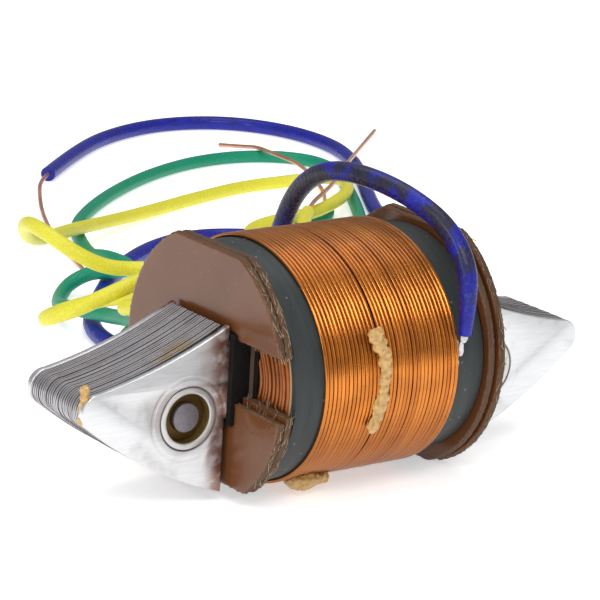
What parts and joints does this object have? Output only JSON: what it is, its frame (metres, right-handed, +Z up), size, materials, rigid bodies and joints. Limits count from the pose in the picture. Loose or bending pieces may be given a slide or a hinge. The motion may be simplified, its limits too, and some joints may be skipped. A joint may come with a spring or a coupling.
{
  "type": "ignition coil",
  "caption": "Flywheel magneto ignition coil: enamelled copper winding between brown fibre cheeks on a laminated steel core with riveted pole shoes, and blue, green and yellow sleeved leads.",
  "frame": {"origin": "under the middle of the coil, on the surface that it stands on", "axes": "+X along the coil's axis and the core, +Y through the stack of laminations towards the mounting side, +Z up, away from the pole faces"},
  "size_m": [0.183, 0.2088, 0.0429],
  "materials": {
    "laminations": "satin",
    "cover_plate": "polished",
    "bush": "satin",
    "rivet": "satin",
    "black_insulation": "matte",
    "former_board": "matte",
    "inner_copper": "gloss",
    "paper": "matte",
    "black_tape": "satin",
    "enamelled_copper": "gloss",
    "cheek_fibre": "gloss",
    "resin": "gloss",
    "glue": "matte",
    "thread": "matte",
    "blue_sleeve": "satin",
    "green_sleeve": "satin",
    "yellow_sleeve": "satin",
    "bare_copper": "satin"
  },
  "bodies": {
    "root": {"core_laminations": "laminations", "cover_plate_front": "cover_plate", "cover_plate_back": "cover_plate", "pole_bush_left": "bush", "pole_bush_right": "bush", "pole_rivet_left": "rivet", "pole_rivet_right": "rivet", "core_wrap": "black_insulation", "winding_former": "former_board", "inner_winding": "inner_copper", "layer_paper": "paper", "winding_tape": "black_tape", "outer_winding_left": "enamelled_copper", "outer_winding_right": "enamelled_copper", "cheek_lining_left": "black_insulation", "cheek_lining_right": "black_insulation", "cheek_left_outer": "cheek_fibre", "cheek_left_inner": "cheek_fibre", "cheek_right_outer": "cheek_fibre", "cheek_right_inner": "cheek_fibre", "resin_drips": "resin", "lead_anchor": "resin", "glue_patch": "glue", "binding_thread": "thread", "blue_lead": "blue_sleeve", "green_lead": "green_sleeve", "yellow_lead": "yellow_sleeve", "blue_wire_end": "bare_copper", "green_wire_end": "bare_copper", "yellow_wire_end": "bare_copper"}
  },
  "joints": []
}
